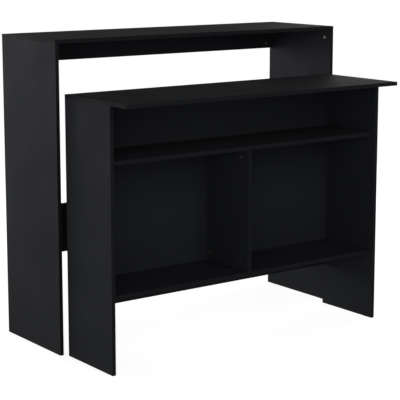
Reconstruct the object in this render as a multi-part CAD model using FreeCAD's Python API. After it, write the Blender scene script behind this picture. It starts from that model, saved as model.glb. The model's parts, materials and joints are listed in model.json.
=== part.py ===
"""Bar table in two free-standing units: a tall open frame, and a lower counter that nests inside it.

Both units are faced board joined with cam locks, cam bolts and dowels, and every edge that shows carries
a thin plastic edging strip. Millimetres, +Z up, the front towards -Y. The origin is on the floor, under the
middle of the box round both units, with the counter drawn out in front of the frame.
"""
import FreeCAD, Part
import os
from FreeCAD import Vector

# Boards and edging, and the largest share of the edging that its rounding may take
BOARD = 15.0
EDGING = 1.0
EDGING_ROUNDING = 0.6
ROUNDING_SHARE = 0.9

# Tall frame
TALL_HEIGHT = 1200.0
TALL_DEPTH = 405.0
APRON_HEIGHT = 100.0
STRETCHER_HEIGHT = 200.0
STRETCHER_FROM_FLOOR = 300.0

# Lower counter
COUNTER_WIDTH = 1300.0
COUNTER_HEIGHT = 1000.0
COUNTER_SIDE_DEPTH = 305.0
COUNTER_OVERHANG = 105.0
UPPER_BAY_HEIGHT = 202.0
LOWER_BAY_HEIGHT = 479.0
SHELF_SETBACK = 21.0
BACK_DROP = 97.0

# How the two units stand to each other
NEST_GAP = 18.0
COUNTER_SHIFT = -7.0
STAND_GAP = 18.0

# Cam locks: the cam's pocket is left open on one face of the board
CAM_RADIUS = 5.9
CAM_CLEARANCE = 0.1
CAM_SETBACK = 34.0
CAM_SINK = 0.3
CAM_FLOOR = 2.7
CROSS_LENGTH = 6.4
CROSS_WIDTH = 1.2
CROSS_DEPTH = 2.0

# Caps over the cams that hold the counter's top, and those along the apron
CAP_OVERLAP = 1.5
CAP_HEIGHT = 1.2
CAP_ROUNDING = 0.7
CAP_CLEARANCE = 0.05

# Cam bolts: thread, shoulder, shank, neck and head along one axis
THREAD_RADIUS = 2.45
SHOULDER_RADIUS = 3.7
SHOULDER_LENGTH = 1.5
SHANK_RADIUS = 2.8
SHANK_TO_CAM = 1.6
NECK_RADIUS = 1.6
HEAD_RADIUS = 2.6
HEAD_LENGTH = 3.0
HEAD_GRIP = 2.5
BOLT_CLEARANCE = 0.3
THREAD_CLEARANCE = 0.05

# Dowels, and the least board that is left behind a blind hole
DOWEL_RADIUS = 3.9
DOWEL_CLEARANCE = 0.1
DOWEL_IN_END = 20.0
DOWEL_END_GAP = 1.0
DOWEL_CHAMFER = 0.8
BLIND_WALL = 4.0

# Push-in glides under the upright boards
GLIDE_HEIGHT = 2.0
GLIDE_RADIUS = 6.0
GLIDE_SHANK_RADIUS = 2.45
GLIDE_SHANK_LENGTH = 12.0
GLIDE_CLEARANCE = 0.05
GLIDE_INSET = 40.0
GLIDE_ROUNDING = 0.8

# Where the fittings sit, measured from the edges of the board that holds them
SIDE_CAM_INSET = 39.0
SIDE_DOWEL_INSET = 103.0
APRON_CAM_INSET = 20.0
APRON_TOP_CAM_INSET = 350.0
APRON_DOWEL_INSET = 220.0
STRETCHER_CAM_INSET = 50.0
SHELF_CAM_INSET = 50.0
SHELF_DOWEL_INSETS = (150.0, 450.0)
DIVIDER_CAM_FRONT_INSET = 50.0
DIVIDER_CAM_BACK_INSET = 20.0
DIVIDER_DOWEL_INSET = 120.0
BACK_CAM_INSET = 60.0
BACK_DOWEL_INSET = 220.0

# How far a cutting tool runs past the face that it enters, and how close counts as the same place
CUT_OVERRUN = 1.0
SAME_PLACE = 0.01

# Places that follow from the sizes above
TALL_WIDTH = COUNTER_WIDTH + 2 * (BOARD + NEST_GAP)
COUNTER_TOP_DEPTH = COUNTER_SIDE_DEPTH + COUNTER_OVERHANG
BACK_Y = (TALL_DEPTH + STAND_GAP + COUNTER_TOP_DEPTH) / 2
TALL_FRONT_Y = BACK_Y - TALL_DEPTH
COUNTER_BACK_Y = TALL_FRONT_Y - STAND_GAP
COUNTER_SIDE_FRONT_Y = COUNTER_BACK_Y - COUNTER_SIDE_DEPTH
COUNTER_TOP_FRONT_Y = COUNTER_BACK_Y - COUNTER_TOP_DEPTH
TALL_LEFT_X = -TALL_WIDTH / 2
TALL_RIGHT_X = TALL_WIDTH / 2
COUNTER_LEFT_X = COUNTER_SHIFT - COUNTER_WIDTH / 2
COUNTER_RIGHT_X = COUNTER_SHIFT + COUNTER_WIDTH / 2
BLIND_DEPTH = BOARD - BLIND_WALL
CAM_POCKET_RADIUS = CAM_RADIUS + CAM_CLEARANCE
CAM_TOP = BOARD / 2 - CAM_SINK
CAM_BOTTOM = CAM_FLOOR - BOARD / 2

RIGHT, BACKWARD, UP = Vector(1, 0, 0), Vector(0, 1, 0), Vector(0, 0, 1)
LEFT, FORWARD, DOWN = -RIGHT, -BACKWARD, -UP

boards = {}
edgings = {}
drilling = {}
fittings = {}


def box(low, high):
    """A block between two opposite corners."""
    low, high = Vector(*low), Vector(*high)
    size = high - low
    return Part.makeBox(size.x, size.y, size.z, low)


def edging_strip(low, high, axis, outer):
    """A strip of edging, with the two long edges of its outer face rounded off."""
    strip = box(low, high)
    lengths = [b - a for a, b in zip(low, high)]
    along = lengths.index(max(lengths))
    outer_edges = []
    for edge in strip.Edges:
        ends = [vertex.Point for vertex in edge.Vertexes]
        on_outer_face = all(abs(end[axis] - outer) < SAME_PLACE for end in ends)
        if on_outer_face and abs(ends[1][along] - ends[0][along]) > EDGING:
            outer_edges.append(edge)
    return strip.makeFillet(min(EDGING_ROUNDING, ROUNDING_SHARE * EDGING), outer_edges)


def add_board(name, low, high, edged_sides):
    """A board of the given outer corners, as its core and one strip of edging on each edged side.

    A side is named by its direction, such as "-y". The first strip runs the whole length of its side, and
    each later one fits between those before it.
    """
    low, high = list(low), list(high)
    strips = []
    for side in edged_sides:
        axis = "xyz".index(side[1])
        strip_low, strip_high = list(low), list(high)
        if side[0] == "-":
            outer = low[axis]
            low[axis] += EDGING
            strip_high[axis] = low[axis]
        else:
            outer = high[axis]
            high[axis] -= EDGING
            strip_low[axis] = high[axis]
        strips.append(edging_strip(strip_low, strip_high, axis, outer))
    boards[name] = box(low, high)
    edgings[name] = strips
    drilling[name] = []


def cylinder(radius, start, direction, length):
    return Part.makeCylinder(radius, length, start, direction)


def cross(shrink, floor, top):
    """The two blocks that make a cam's cross-shaped recess, drawn in by a clearance."""
    long_half = CROSS_LENGTH / 2 - shrink
    short_half = CROSS_WIDTH / 2 - shrink
    blocks = []
    for half_x, half_y in ((long_half, short_half), (short_half, long_half)):
        low = (CAM_SETBACK - half_x, -half_y, floor)
        blocks.append(box(low, (CAM_SETBACK + half_x, half_y, top)))
    return blocks


def cam_lock():
    """A cam in its joint's own frame: X runs from the joint into the board, Z points out of the pocket.

    The bolt's neck enters through a quarter-turn slot, and its head through a wider bore at the slot's end.
    """
    centre = Vector(CAM_SETBACK, 0, 0)
    slot_half = NECK_RADIUS + BOLT_CLEARANCE
    head_bore = HEAD_RADIUS + BOLT_CLEARANCE
    reach = CAM_RADIUS + CUT_OVERRUN
    cam = cylinder(CAM_RADIUS, centre + UP * CAM_BOTTOM, UP, CAM_TOP - CAM_BOTTOM)
    slot = Part.makeCylinder(reach, 2 * slot_half, centre + DOWN * slot_half, UP, 90)
    slot.rotate(centre, UP, 180)
    neck_way = box((CAM_SETBACK - reach, -slot_half, -slot_half), (CAM_SETBACK, slot_half, slot_half))
    head_way = cylinder(head_bore, centre, FORWARD, reach)
    head_start = CAM_SETBACK - HEAD_GRIP - BOLT_CLEARANCE
    head_room = cylinder(head_bore, Vector(head_start, 0, 0), RIGHT, HEAD_LENGTH + 2 * BOLT_CLEARANCE)
    recess = cross(0, CAM_TOP - CROSS_DEPTH, CAM_TOP + CUT_OVERRUN)
    return cam.cut([slot, neck_way, head_way, head_room] + recess)


def cam_cap():
    """A thin cap over a cam's pocket, held by a cross that pushes into the cam's own."""
    face = BOARD / 2
    middle = face + CAP_HEIGHT / 2
    disc = cylinder(CAM_POCKET_RADIUS + CAP_OVERLAP, Vector(CAM_SETBACK, 0, face), UP, CAP_HEIGHT)
    rims = [edge for edge in disc.Edges if isinstance(edge.Curve, Part.Circle)]
    outer_rim = [rim for rim in rims if rim.CenterOfMass.z > middle]
    disc = disc.makeFillet(min(CAP_ROUNDING, ROUNDING_SHARE * CAP_HEIGHT), outer_rim)
    blades = cross(CAP_CLEARANCE, CAM_TOP - CROSS_DEPTH + CAP_CLEARANCE, middle)
    return disc.fuse(blades).removeSplitter().Solids[0]


def cam_bolt():
    """A bolt turned about X: its shoulder sits on the face of the board that takes the thread."""
    neck_start = CAM_SETBACK - CAM_RADIUS - SHANK_TO_CAM
    head_start = CAM_SETBACK - HEAD_GRIP
    thread_start = BOLT_CLEARANCE - BLIND_DEPTH
    steps = (
        (thread_start, THREAD_RADIUS),
        (0, SHOULDER_RADIUS),
        (SHOULDER_LENGTH, SHANK_RADIUS),
        (neck_start, NECK_RADIUS),
        (head_start, HEAD_RADIUS),
        (head_start + HEAD_LENGTH, 0),
    )
    profile = [Vector(thread_start, 0, 0)]
    for (start, radius), (end, _) in zip(steps, steps[1:]):
        profile += [Vector(start, radius, 0), Vector(end, radius, 0)]
    profile += [Vector(steps[-1][0], 0, 0), profile[0]]
    return Part.Face(Part.makePolygon(profile)).revolve(Vector(), RIGHT, 360)


def dowel():
    """A beech dowel along X with chamfered ends, shared between the two boards."""
    start = DOWEL_END_GAP - BLIND_DEPTH
    end = DOWEL_IN_END
    pin = cylinder(DOWEL_RADIUS, Vector(start, 0, 0), RIGHT, end - start)
    rims = [edge for edge in pin.Edges if isinstance(edge.Curve, Part.Circle)]
    return pin.makeChamfer(DOWEL_CHAMFER, rims)


def glide():
    """A plastic glide standing on the floor, with a shank that pushes into the board's lower edge."""
    foot = cylinder(GLIDE_RADIUS, Vector(), UP, GLIDE_HEIGHT)
    rim = [edge for edge in foot.Edges if isinstance(edge.Curve, Part.Circle) and edge.CenterOfMass.z == 0]
    foot = foot.makeFillet(GLIDE_ROUNDING, rim)
    shank = cylinder(GLIDE_SHANK_RADIUS, Vector(), UP, GLIDE_HEIGHT + GLIDE_SHANK_LENGTH)
    return foot.fuse(shank).removeSplitter()


CAM_LOCK = cam_lock()
CAM_CAP = cam_cap()
CAM_BOLT = cam_bolt()
DOWEL = dowel()
GLIDE = glide()


def end_hole(radius, depth):
    """A hole bored from the joint along X, into the end of the board that holds the fitting."""
    return cylinder(radius, Vector(-CUT_OVERRUN, 0, 0), RIGHT, depth + CUT_OVERRUN)


def face_hole(radius):
    """A blind hole bored from the joint against X, into the face of the other board."""
    return cylinder(radius, Vector(CUT_OVERRUN, 0, 0), LEFT, BLIND_DEPTH + CUT_OVERRUN)


CAM_POCKET = cylinder(
    CAM_POCKET_RADIUS, Vector(CAM_SETBACK, 0, CAM_BOTTOM), UP, BOARD / 2 - CAM_BOTTOM + CUT_OVERRUN
)
BOLT_CHANNEL = end_hole(SHOULDER_RADIUS + BOLT_CLEARANCE, CAM_SETBACK)
THREAD_HOLE = face_hole(THREAD_RADIUS + THREAD_CLEARANCE)
DOWEL_END_HOLE = end_hole(DOWEL_RADIUS + DOWEL_CLEARANCE, DOWEL_IN_END + DOWEL_END_GAP)
DOWEL_FACE_HOLE = face_hole(DOWEL_RADIUS + DOWEL_CLEARANCE)
GLIDE_HOLE = cylinder(
    GLIDE_SHANK_RADIUS + GLIDE_CLEARANCE, Vector(), UP, GLIDE_HEIGHT + GLIDE_SHANK_LENGTH + GLIDE_CLEARANCE
)


def placed(shape, point, inward=RIGHT, facing=UP):
    """A copy of a shape with its origin at a point, X along inward and Z along facing."""
    turn = FreeCAD.Rotation(inward, facing.cross(inward), facing, "ZXY")
    return shape.transformed(FreeCAD.Placement(point, turn).toMatrix(), copy=True)


def add_fitting(node, solid):
    fittings.setdefault(node, []).append(solid)


def cam_joint(holder, mate, point, inward, facing):
    """Joins the end of one board to the face of another: the holder has the cam, the mate the bolt."""
    unit = holder.split("_")[0]
    for hole in (CAM_POCKET, BOLT_CHANNEL):
        drilling[holder].append(placed(hole, point, inward, facing))
    drilling[mate].append(placed(THREAD_HOLE, point, inward, facing))
    add_fitting(unit + "_cam_locks", placed(CAM_LOCK, point, inward, facing))
    add_fitting(unit + "_cam_bolts", placed(CAM_BOLT, point, inward, facing))


def dowel_joint(holder, mate, point, inward, facing):
    """Locates the end of one board on the face of another with a dowel."""
    unit = holder.split("_")[0]
    drilling[holder].append(placed(DOWEL_END_HOLE, point, inward, facing))
    drilling[mate].append(placed(DOWEL_FACE_HOLE, point, inward, facing))
    add_fitting(unit + "_dowels", placed(DOWEL, point, inward, facing))


def stand_on_glides(holder, x, front_y, back_y):
    unit = holder.split("_")[0]
    for y in (front_y + GLIDE_INSET, back_y - GLIDE_INSET):
        drilling[holder].append(placed(GLIDE_HOLE, Vector(x, y, 0)))
        add_fitting(unit + "_glides", placed(GLIDE, Vector(x, y, 0)))


def top_on_side(side, top, x, cam_places, dowel_places, height, facing):
    """Fastens the upper end of a side board, standing at x, to the underside of a top."""
    for y in cam_places:
        cam_joint(side, top, Vector(x, y, height), DOWN, facing)
    for y in dowel_places:
        dowel_joint(side, top, Vector(x, y, height), DOWN, facing)


def build_tall_frame():
    under_top = TALL_HEIGHT - BOARD
    inner_left = TALL_LEFT_X + BOARD
    inner_right = TALL_RIGHT_X - BOARD
    rail_front_y = BACK_Y - BOARD
    rail_y = BACK_Y - BOARD / 2
    apron_bottom = under_top - APRON_HEIGHT
    stretcher_top = STRETCHER_FROM_FLOOR + STRETCHER_HEIGHT
    side_cams = (TALL_FRONT_Y + SIDE_CAM_INSET,)
    side_dowels = (TALL_FRONT_Y + SIDE_DOWEL_INSET, BACK_Y - SIDE_DOWEL_INSET)

    add_board(
        "tall_top",
        (TALL_LEFT_X, TALL_FRONT_Y, under_top),
        (TALL_RIGHT_X, BACK_Y, TALL_HEIGHT),
        ("-y", "+y", "-x", "+x"),
    )
    for side, x in (("tall_left_side", TALL_LEFT_X), ("tall_right_side", inner_right)):
        add_board(side, (x, TALL_FRONT_Y, GLIDE_HEIGHT), (x + BOARD, BACK_Y, under_top), ("-y", "+y"))
        stand_on_glides(side, x + BOARD / 2, TALL_FRONT_Y, BACK_Y)
    add_board(
        "tall_apron", (inner_left, rail_front_y, apron_bottom), (inner_right, BACK_Y, under_top), ("-z",)
    )
    add_board(
        "tall_stretcher",
        (inner_left, rail_front_y, STRETCHER_FROM_FLOOR),
        (inner_right, BACK_Y, stretcher_top),
        ("-z", "+z"),
    )

    rail_ends = (("tall_left_side", inner_left, RIGHT), ("tall_right_side", inner_right, LEFT))
    for side, x, inward in rail_ends:
        top_on_side(side, "tall_top", x - inward.x * BOARD / 2, side_cams, side_dowels, under_top, inward)
        for z in (apron_bottom + APRON_CAM_INSET, under_top - APRON_CAM_INSET):
            cam_joint("tall_apron", side, Vector(x, rail_y, z), inward, FORWARD)
        dowel_joint("tall_apron", side, Vector(x, rail_y, (apron_bottom + under_top) / 2), inward, FORWARD)
        for z in (STRETCHER_FROM_FLOOR + STRETCHER_CAM_INSET, stretcher_top - STRETCHER_CAM_INSET):
            cam_joint("tall_stretcher", side, Vector(x, rail_y, z), inward, FORWARD)
        middle = (STRETCHER_FROM_FLOOR + stretcher_top) / 2
        dowel_joint("tall_stretcher", side, Vector(x, rail_y, middle), inward, FORWARD)
        point = Vector(x + inward.x * APRON_TOP_CAM_INSET, rail_y, under_top)
        cam_joint("tall_apron", "tall_top", point, DOWN, FORWARD)
        add_fitting("tall_cam_caps", placed(CAM_CAP, point, DOWN, FORWARD))
        point = Vector(x + inward.x * APRON_DOWEL_INSET, rail_y, under_top)
        dowel_joint("tall_apron", "tall_top", point, DOWN, FORWARD)


def build_counter():
    under_top = COUNTER_HEIGHT - BOARD
    inner_left = COUNTER_LEFT_X + BOARD
    inner_right = COUNTER_RIGHT_X - BOARD
    back_face_y = COUNTER_BACK_Y - BOARD
    back_middle_y = COUNTER_BACK_Y - BOARD / 2
    shelf_front_y = COUNTER_SIDE_FRONT_Y + SHELF_SETBACK
    mid_top = under_top - UPPER_BAY_HEIGHT
    mid_bottom = mid_top - BOARD
    low_top = mid_bottom - LOWER_BAY_HEIGHT
    low_bottom = low_top - BOARD
    back_bottom = low_bottom - BACK_DROP
    divider_x = COUNTER_SHIFT
    divider_left = divider_x - BOARD / 2
    side_cams = (COUNTER_SIDE_FRONT_Y + SIDE_CAM_INSET, COUNTER_BACK_Y - SIDE_CAM_INSET)
    side_dowels = (COUNTER_SIDE_FRONT_Y + SIDE_DOWEL_INSET, COUNTER_BACK_Y - SIDE_DOWEL_INSET)

    add_board(
        "counter_top",
        (COUNTER_LEFT_X, COUNTER_TOP_FRONT_Y, under_top),
        (COUNTER_RIGHT_X, COUNTER_BACK_Y, COUNTER_HEIGHT),
        ("-y", "+y", "-x", "+x"),
    )
    for side, x in (("counter_left_side", COUNTER_LEFT_X), ("counter_right_side", inner_right)):
        low = (x, COUNTER_SIDE_FRONT_Y, GLIDE_HEIGHT)
        add_board(side, low, (x + BOARD, COUNTER_BACK_Y, under_top), ("-y", "+y"))
        stand_on_glides(side, x + BOARD / 2, COUNTER_SIDE_FRONT_Y, COUNTER_BACK_Y)
    add_board(
        "counter_back",
        (inner_left, back_face_y, back_bottom),
        (inner_right, COUNTER_BACK_Y, under_top),
        ("-z",),
    )
    for shelf, z in (("counter_mid_shelf", mid_bottom), ("counter_bottom_shelf", low_bottom)):
        add_board(shelf, (inner_left, shelf_front_y, z), (inner_right, back_face_y, z + BOARD), ("-y",))
    add_board(
        "counter_divider",
        (divider_left, shelf_front_y, low_top),
        (divider_left + BOARD, back_face_y, mid_bottom),
        ("-y",),
    )

    shelf_middles = {"counter_mid_shelf": mid_top - BOARD / 2, "counter_bottom_shelf": low_top - BOARD / 2}
    shelf_middle_y = (shelf_front_y + back_face_y) / 2
    board_ends = (("counter_left_side", inner_left, RIGHT), ("counter_right_side", inner_right, LEFT))
    for side, x, inward in board_ends:
        side_x = x - inward.x * BOARD / 2
        top_on_side(side, "counter_top", side_x, side_cams, side_dowels, under_top, inward)
        for y in side_cams:
            add_fitting("counter_cam_caps", placed(CAM_CAP, Vector(side_x, y, under_top), DOWN, inward))
        for shelf, z in shelf_middles.items():
            for y in (shelf_front_y + SHELF_CAM_INSET, back_face_y - SHELF_CAM_INSET):
                cam_joint(shelf, side, Vector(x, y, z), inward, DOWN)
            dowel_joint(shelf, side, Vector(x, shelf_middle_y, z), inward, DOWN)
        back_middle = (back_bottom + under_top) / 2
        for z in (back_bottom + BACK_CAM_INSET, back_middle, under_top - BACK_CAM_INSET):
            cam_joint("counter_back", side, Vector(x, back_middle_y, z), inward, BACKWARD)
        for shelf, z in shelf_middles.items():
            for inset in SHELF_DOWEL_INSETS:
                point = Vector(x + inward.x * inset, back_face_y, z)
                dowel_joint(shelf, "counter_back", point, FORWARD, DOWN)
        point = Vector(x + inward.x * BACK_DOWEL_INSET, back_middle_y, under_top)
        dowel_joint("counter_back", "counter_top", point, DOWN, BACKWARD)

    divider_ends = (("counter_mid_shelf", mid_bottom, DOWN), ("counter_bottom_shelf", low_top, UP))
    for shelf, z, inward in divider_ends:
        for y in (shelf_front_y + DIVIDER_CAM_FRONT_INSET, back_face_y - DIVIDER_CAM_BACK_INSET):
            cam_joint("counter_divider", shelf, Vector(divider_x, y, z), inward, LEFT)
        dowel_y = shelf_front_y + DIVIDER_DOWEL_INSET
        dowel_joint("counter_divider", shelf, Vector(divider_x, dowel_y, z), inward, LEFT)


def export(node, solids):
    shape = solids[0] if len(solids) == 1 else Part.makeCompound(solids)
    if not shape.isValid():
        raise ValueError(node + " is not a valid shape")
    shape.exportStep("parts/" + node + ".step")
    print(node, len(shape.Solids), "solids", round(shape.Volume / 1000, 1), "cm3")


build_tall_frame()
build_counter()

os.makedirs("parts", exist_ok=True)
for name, board in boards.items():
    export(name, board.cut(drilling[name]).Solids)
    export(name + "_edging", edgings[name])
for name, solids in fittings.items():
    export(name, solids)
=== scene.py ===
import bpy
import json
import math
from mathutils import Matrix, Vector


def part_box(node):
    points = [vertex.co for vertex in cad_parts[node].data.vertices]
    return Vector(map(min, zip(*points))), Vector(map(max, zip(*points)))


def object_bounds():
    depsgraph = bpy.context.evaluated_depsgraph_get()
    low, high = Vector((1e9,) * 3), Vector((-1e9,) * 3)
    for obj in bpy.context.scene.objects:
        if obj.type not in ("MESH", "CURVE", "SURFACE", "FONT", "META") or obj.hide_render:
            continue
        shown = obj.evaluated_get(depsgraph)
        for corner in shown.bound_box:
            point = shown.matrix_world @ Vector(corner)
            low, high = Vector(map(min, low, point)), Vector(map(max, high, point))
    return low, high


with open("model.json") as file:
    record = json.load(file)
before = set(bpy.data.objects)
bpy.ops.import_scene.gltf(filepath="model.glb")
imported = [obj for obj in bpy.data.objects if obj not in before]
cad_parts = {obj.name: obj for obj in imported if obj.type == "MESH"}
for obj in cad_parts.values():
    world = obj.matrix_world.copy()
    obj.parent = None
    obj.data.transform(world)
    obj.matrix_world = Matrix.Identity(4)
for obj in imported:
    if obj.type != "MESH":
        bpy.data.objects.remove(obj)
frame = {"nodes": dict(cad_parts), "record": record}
cad_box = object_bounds()

# Colours, in linear light
FACING_DARK = (0.0174, 0.0187, 0.0213, 1)
FACING_LIGHT = (0.0218, 0.0232, 0.0266, 1)
EDGING_DARK = (0.0096, 0.0102, 0.0117, 1)
EDGING_LIGHT = (0.0124, 0.0133, 0.0152, 1)
# Lighter grey of the rounded edges: partly rubbed wear, partly a painted highlight along the arris
EDGING_WORN_AND_HIGHLIGHT = (0.050, 0.052, 0.056, 1)
# Chipboard core: its own tan tone, darkened as painted shade for the drilled pockets
CHIP_DARK_SHADED = (0.075, 0.052, 0.034, 1)
CHIP_LIGHT_SHADED = (0.22, 0.17, 0.12, 1)
ZINC_DARK = (0.18, 0.18, 0.18, 1)
ZINC_LIGHT = (0.32, 0.32, 0.31, 1)
STEEL_DARK = (0.38, 0.36, 0.30, 1)
STEEL_LIGHT = (0.58, 0.56, 0.48, 1)
BEECH_DARK = (0.36, 0.21, 0.10, 1)
BEECH_LIGHT = (0.62, 0.43, 0.25, 1)
NYLON_DARK = (0.010, 0.010, 0.011, 1)
NYLON_LIGHT = (0.018, 0.018, 0.020, 1)
CAP_DARK = (0.017, 0.018, 0.020, 1)
CAP_LIGHT = (0.0215, 0.0225, 0.0245, 1)
FLOOR_COLOUR = (0.35, 0.35, 0.35, 1)
WHITE = (1, 1, 1, 1)

# Gloss of each surface, and the faint sheen of the facing
FACING_SPECULAR = 0.04
EDGING_SPECULAR = 0.032
METAL_SPECULAR = 0.5
BEECH_SPECULAR = 0.3
NYLON_SPECULAR = 0.3
CAP_SPECULAR = 0.15
FLOOR_SPECULAR = 0.0
FACING_SHEEN = 0.005
SHEEN_ROUGHNESS = 0.3

# Roughness of each surface, from its smoothest to its dullest spots
FACING_ROUGHNESS = (0.60, 0.70)
EDGING_ROUGHNESS = (0.55, 0.67)
ZINC_ROUGHNESS = (0.42, 0.62)
STEEL_ROUGHNESS = (0.22, 0.42)
BEECH_ROUGHNESS = (0.55, 0.75)
NYLON_ROUGHNESS = (0.40, 0.65)
CAP_ROUGHNESS = (0.50, 0.62)
CHIP_ROUGHNESS = 0.9
FLOOR_ROUGHNESS = 0.9

# Sizes of surface detail, in metres
FACING_GRAIN = 0.0006
FACING_RIPPLE = 0.006
HANDLING_MARKS = 0.16
CHIP_SIZE = 0.003
CRUMB_SIZE = CHIP_SIZE / 4
EDGING_STREAK = 0.0012
RUBBED_AND_HIGHLIGHT_PATCH = 0.09
METAL_MOTTLE = 0.004
METAL_PIT = 0.0007
BEECH_FLECK = 0.0012
NYLON_SCUFF = 0.002
CAP_GRAIN = 0.0004

# Depths of surface detail, in metres
FACING_GRAIN_DEPTH = 0.00003
FACING_RIPPLE_DEPTH = 0.00002
CRUMB_DEPTH = 0.0004
EDGING_STREAK_DEPTH = 0.00003
METAL_PIT_DEPTH = 0.00004
BEECH_FLECK_DEPTH = 0.00008
NYLON_SCUFF_DEPTH = 0.00005
CAP_GRAIN_DEPTH = 0.00003

# Layers of ever finer noise in a surface's detail
SMOOTH = 2.0
FINE = 3.0
MOTTLED = 4.0
BLOTCHY = 5.0

# Where most of a noise lies, and how much less the flecks of beech vary along X
NOISE_MIDDLE = (0.3, 0.7)
BEECH_STRETCH = (0.2, 1.0, 1.0)

# How squarely a faced side looks along its axis, and a rounded and a flat part of the edging along theirs
FACED_FROM = 0.7
ROUNDED_TO_FLAT = (0.72, 0.99)

# How far the rounded edges are lightened, partly by rubbed wear and partly as a painted highlight,
# between the less and the more handled patches
PATCH_MIDDLE = (0.35, 0.65)
RUBBED_AND_HIGHLIGHT_SHARE = (0.4, 0.9)

# Camera at the photograph's viewing angle
CAMERA_PLACE = (-3.189, -4.248, 1.550)
CAMERA_HEADING = math.radians(36.62)
CAMERA_DOWN = math.radians(9.36)
CAMERA_LENS = 120.9
CAMERA_SHIFT_Y = -0.09

# Soft boxes: place, width and watts of each
LAMPS = {
    "front_left": ((-3.4, -3.0, 1.1), 2.4, 46),
    "front": ((0.2, -3.6, 2.6), 2.0, 40),
    "right": ((3.6, 0.4, 1.5), 2.0, 40),
    "back_right": ((3.4, 2.4, 1.3), 1.6, 13),
    "back": ((-0.8, 3.4, 1.2), 2.0, 65),
    "back_left": ((-2.8, 1.9, 1.0), 1.8, 12),
}

# Backdrop: white up to one angle above the floor, fading to a dim room at another
BACKDROP_LIGHT = 1.0
ROOM_LIGHT = 0.05
BACKDROP_WHITE_TO = math.radians(4.5)
BACKDROP_DIM_FROM = math.radians(9)

# Floor: its half width, and the white that it shows by itself near the object and far from it
FLOOR_REACH = 60.0
FLOOR_SHADOW_TO = 1.6
FLOOR_WHITE_FROM = 4.5
FLOOR_SHOWN_NEAR = 0.89
FLOOR_SHOWN_FAR = 1.0


class Nodes:
    """A node tree, with short calls for the nodes that the finishes, the floor and the world share."""

    def __init__(self, tree):
        self.tree = tree

    def add(self, kind, **settings):
        node = self.tree.nodes.new(kind)
        for name, value in settings.items():
            setattr(node, name, value)
        return node

    def link(self, source, target):
        self.tree.links.new(source, target)

    def feed(self, value, socket):
        """Links an output to a socket, or sets the socket to a plain value."""
        if isinstance(value, bpy.types.NodeSocket):
            self.link(value, socket)
        else:
            socket.default_value = value

    def calc(self, operation, *values):
        """One sum on outputs or plain numbers."""
        node = self.add("ShaderNodeMath", operation=operation)
        for value, socket in zip(values, node.inputs):
            self.feed(value, socket)
        return node.outputs[0]

    def spread(self, value, target, source=NOISE_MIDDLE):
        """Maps one range of values onto another, and holds it at the ends."""
        node = self.add("ShaderNodeMapRange")
        self.link(value, node.inputs["Value"])
        for name, limit in zip(("From Min", "From Max", "To Min", "To Max"), (*source, *target)):
            node.inputs[name].default_value = limit
        return node.outputs["Result"]


class Shader(Nodes):
    """One finish's material, laid out by the place on the piece."""

    def __init__(self, name):
        self.material = bpy.data.materials.new(name)
        self.material.use_nodes = True
        super().__init__(self.material.node_tree)
        self.surface = self.tree.nodes["Principled BSDF"]
        self.place = self.add("ShaderNodeTexCoord").outputs["Object"]

    def stretched(self, scale):
        """The place on the piece, scaled by a different amount along each axis."""
        node = self.add("ShaderNodeMapping")
        node.inputs["Scale"].default_value = scale
        self.link(self.place, node.inputs["Vector"])
        return node.outputs["Vector"]

    def noise(self, size, detail=SMOOTH, place=None):
        node = self.add("ShaderNodeTexNoise")
        node.inputs["Scale"].default_value = 1 / size
        node.inputs["Detail"].default_value = detail
        self.link(place or self.place, node.inputs["Vector"])
        return node.outputs["Fac"]

    def cells(self, size):
        node = self.add("ShaderNodeTexVoronoi")
        node.inputs["Scale"].default_value = 1 / size
        self.link(self.place, node.inputs["Vector"])
        return node.outputs["Color"]

    def mixed(self, factor, first, second, kind="RGBA"):
        node = self.add("ShaderNodeMix", data_type=kind)
        sockets = [s for s in node.inputs if s.enabled]
        for value, socket in zip((factor, first, second), sockets):
            self.feed(value, socket)
        return next(s for s in node.outputs if s.enabled)

    def bump(self, height, depth, under=None):
        node = self.add("ShaderNodeBump")
        node.inputs["Distance"].default_value = depth
        self.link(height, node.inputs["Height"])
        if under:
            self.link(under, node.inputs["Normal"])
        return node.outputs["Normal"]

    def facing(self):
        """How squarely a face looks along X, Y and Z, each from 0 to 1."""
        split = self.add("ShaderNodeSeparateXYZ")
        self.link(self.add("ShaderNodeNewGeometry").outputs["True Normal"], split.inputs[0])
        return [self.calc("ABSOLUTE", s) for s in split.outputs]

    def finish(self, colour, roughness, normal, specular, metallic=0.0, sheen=0.0):
        self.link(colour, self.surface.inputs["Base Color"])
        self.link(roughness, self.surface.inputs["Roughness"])
        self.link(normal, self.surface.inputs["Normal"])
        self.surface.inputs["Specular IOR Level"].default_value = specular
        self.surface.inputs["Metallic"].default_value = metallic
        self.surface.inputs["Sheen Weight"].default_value = sheen
        self.surface.inputs["Sheen Roughness"].default_value = SHEEN_ROUGHNESS
        return self.material

    def follow(self, detail, dark, light, dullness, depth, specular):
        """Finishes a surface whose colour, roughness and bump all follow one noise."""
        colour = self.mixed(detail, dark, light)
        roughness = self.spread(detail, dullness)
        return self.finish(colour, roughness, self.bump(detail, depth), specular)


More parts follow.
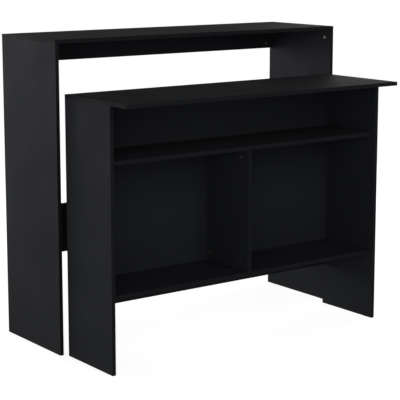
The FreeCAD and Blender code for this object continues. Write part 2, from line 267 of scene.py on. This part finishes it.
def faced_board(axis):
    """Black melamine facing on the two faces square to an axis, and raw chipboard on the cut edges, its
    colour darkened as painted shade for the pockets where it shows.
    """
    shader = Shader("faced_board_" + "xyz"[axis])
    grain = shader.noise(FACING_GRAIN, FINE)
    ripple = shader.noise(FACING_RIPPLE)
    marks = shader.noise(HANDLING_MARKS, BLOTCHY)
    crumbs = shader.noise(CRUMB_SIZE, FINE)
    facing = shader.mixed(grain, FACING_DARK, FACING_LIGHT)
    # The core's colour holds painted shade: darker than raw chipboard
    shaded_core = shader.mixed(shader.cells(CHIP_SIZE), CHIP_DARK_SHADED, CHIP_LIGHT_SHADED)
    faced = shader.calc("GREATER_THAN", shader.facing()[axis], FACED_FROM)
    colour = shader.mixed(faced, shaded_core, facing)
    roughness = shader.mixed(faced, CHIP_ROUGHNESS, shader.spread(marks, FACING_ROUGHNESS), "FLOAT")
    rough_edge = shader.calc("MULTIPLY", crumbs, shader.calc("SUBTRACT", 1.0, faced))
    normal = shader.bump(ripple, FACING_RIPPLE_DEPTH)
    normal = shader.bump(grain, FACING_GRAIN_DEPTH, under=normal)
    normal = shader.bump(rough_edge, CRUMB_DEPTH, under=normal)
    return shader.finish(colour, roughness, normal, FACING_SPECULAR, sheen=FACING_SHEEN)


def edging():
    """Black plastic edging: fine streaks, and a lighter grey on the rounded edges that is partly rubbed
    wear and partly a painted highlight.
    """
    shader = Shader("edging")
    streaks = shader.noise(EDGING_STREAK, FINE)
    patches = shader.noise(RUBBED_AND_HIGHLIGHT_PATCH, MOTTLED)
    plain = shader.mixed(streaks, EDGING_DARK, EDGING_LIGHT)
    across, along, up = shader.facing()
    squarest = shader.calc("MAXIMUM", shader.calc("MAXIMUM", across, along), up)
    rounded = shader.spread(squarest, (1.0, 0.0), ROUNDED_TO_FLAT)
    # Rounded edges lightened: partly rubbed wear, partly a painted highlight
    rubbed_and_highlight = shader.calc("MULTIPLY", rounded, shader.spread(patches, RUBBED_AND_HIGHLIGHT_SHARE, PATCH_MIDDLE))
    colour = shader.mixed(rubbed_and_highlight, plain, EDGING_WORN_AND_HIGHLIGHT)
    roughness = shader.spread(patches, EDGING_ROUGHNESS)
    return shader.finish(colour, roughness, shader.bump(streaks, EDGING_STREAK_DEPTH), EDGING_SPECULAR)


def metal(name, dark, light, dullness):
    """Plated metal with a cast or turned surface and dull spots."""
    shader = Shader(name)
    mottle = shader.noise(METAL_MOTTLE, MOTTLED)
    pits = shader.noise(METAL_PIT, FINE)
    colour = shader.mixed(mottle, dark, light)
    roughness = shader.spread(mottle, dullness)
    normal = shader.bump(pits, METAL_PIT_DEPTH)
    return shader.finish(colour, roughness, normal, METAL_SPECULAR, metallic=1.0)


def beech():
    """Raw beech: short flecks along the grain."""
    shader = Shader("dowel_beech")
    flecks = shader.noise(BEECH_FLECK, MOTTLED, shader.stretched(BEECH_STRETCH))
    return shader.follow(
        flecks, BEECH_DARK, BEECH_LIGHT, BEECH_ROUGHNESS, BEECH_FLECK_DEPTH, BEECH_SPECULAR
    )


def nylon():
    """Black nylon, scuffed by the floor."""
    shader = Shader("glide_nylon")
    scuffs = shader.noise(NYLON_SCUFF, BLOTCHY)
    return shader.follow(
        scuffs, NYLON_DARK, NYLON_LIGHT, NYLON_ROUGHNESS, NYLON_SCUFF_DEPTH, NYLON_SPECULAR
    )


def cap_plastic():
    """Black moulded plastic with a spark-eroded mould's fine grain."""
    shader = Shader("cap_plastic")
    grain = shader.noise(CAP_GRAIN, FINE)
    return shader.follow(
        grain, CAP_DARK, CAP_LIGHT, CAP_ROUGHNESS, CAP_GRAIN_DEPTH, CAP_SPECULAR
    )


def dress_nodes():
    """Gives every node the finish of its slot, and each board the facing that suits the way it lies."""
    boards = [faced_board(axis) for axis in range(3)]
    finishes = {
        "edging": edging(),
        "cam_zinc": metal("cam_zinc", ZINC_DARK, ZINC_LIGHT, ZINC_ROUGHNESS),
        "bolt_steel": metal("bolt_steel", STEEL_DARK, STEEL_LIGHT, STEEL_ROUGHNESS),
        "dowel_beech": beech(),
        "glide_nylon": nylon(),
        "cap_plastic": cap_plastic(),
    }
    for part in frame["record"]["subparts"]:
        node = part["node"]
        low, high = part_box(node)
        size = high - low
        thin = min(range(3), key=lambda axis: size[axis])
        piece = frame["nodes"][node]
        piece.data.materials.clear()
        piece.data.materials.append(finishes.get(part["material_slot"]) or boards[thin])


def shown_directly(nodes):
    """1 for rays that show the background itself: seen, mirrored or through glass."""
    path = nodes.add("ShaderNodeLightPath").outputs
    mirrored = nodes.calc("MAXIMUM", path["Is Camera Ray"], path["Is Glossy Ray"])
    return nodes.calc("MAXIMUM", mirrored, path["Is Transmission Ray"])


def make_floor():
    """A wide pale floor that shows white and keeps a soft shadow."""
    corners = [(x * FLOOR_REACH, y * FLOOR_REACH, 0) for x, y in ((-1, -1), (1, -1), (1, 1), (-1, 1))]
    mesh = bpy.data.meshes.new("floor")
    mesh.from_pydata(corners, [], [(0, 1, 2, 3)])
    floor = bpy.data.objects.new("floor", mesh)
    bpy.context.scene.collection.objects.link(floor)
    material = bpy.data.materials.new("floor")
    material.use_nodes = True
    nodes = Nodes(material.node_tree)
    painted = nodes.tree.nodes["Principled BSDF"]
    painted.inputs["Base Color"].default_value = FLOOR_COLOUR
    painted.inputs["Roughness"].default_value = FLOOR_ROUGHNESS
    painted.inputs["Specular IOR Level"].default_value = FLOOR_SPECULAR
    distance = nodes.add("ShaderNodeVectorMath", operation="LENGTH")
    nodes.link(nodes.add("ShaderNodeNewGeometry").outputs["Position"], distance.inputs[0])
    reach = (FLOOR_SHADOW_TO, FLOOR_WHITE_FROM)
    level = nodes.spread(distance.outputs["Value"], (FLOOR_SHOWN_NEAR, FLOOR_SHOWN_FAR), reach)
    white = nodes.add("ShaderNodeEmission")
    white.inputs["Color"].default_value = WHITE
    nodes.link(nodes.calc("MULTIPLY", shown_directly(nodes), level), white.inputs["Strength"])
    both = nodes.add("ShaderNodeAddShader")
    nodes.link(painted.outputs[0], both.inputs[0])
    nodes.link(white.outputs[0], both.inputs[1])
    nodes.link(both.outputs[0], nodes.tree.nodes["Material Output"].inputs["Surface"])
    mesh.materials.append(material)


def make_world():
    """White low down all round, like a studio's curved backdrop, and a dim room above it."""
    world = bpy.data.worlds.new("studio")
    bpy.context.scene.world = world
    world.use_nodes = True
    nodes = Nodes(world.node_tree)
    split = nodes.add("ShaderNodeSeparateXYZ")
    nodes.link(nodes.add("ShaderNodeTexCoord").outputs["Generated"], split.inputs[0])
    heights = (math.sin(BACKDROP_WHITE_TO), math.sin(BACKDROP_DIM_FROM))
    strength = nodes.spread(split.outputs["Z"], (BACKDROP_LIGHT, ROOM_LIGHT), heights)
    background = nodes.tree.nodes["Background"]
    background.inputs["Color"].default_value = WHITE
    nodes.link(strength, background.inputs["Strength"])


def make_lamp(name, place, width, watts):
    """A square soft box aimed at the middle of the object."""
    lamp = bpy.data.lights.new(name, "AREA")
    lamp.size = width
    lamp.energy = watts
    holder = bpy.data.objects.new(name, lamp)
    bpy.context.scene.collection.objects.link(holder)
    holder.location = place
    low, high = cad_box
    aim = (low + high) / 2 - Vector(place)
    holder.rotation_euler = aim.to_track_quat("-Z", "Y").to_euler()


def make_camera():
    data = bpy.data.cameras.new("camera")
    data.lens = CAMERA_LENS
    data.shift_y = CAMERA_SHIFT_Y
    camera = bpy.data.objects.new("camera", data)
    bpy.context.scene.collection.objects.link(camera)
    camera.location = CAMERA_PLACE
    camera.rotation_euler = (math.pi / 2 - CAMERA_DOWN, 0, -CAMERA_HEADING)
    bpy.context.scene.camera = camera


dress_nodes()
make_floor()
make_world()
for lamp, (place, width, watts) in LAMPS.items():
    make_lamp(lamp, place, width, watts)
make_camera()
bpy.context.scene.view_settings.view_transform = "Standard"
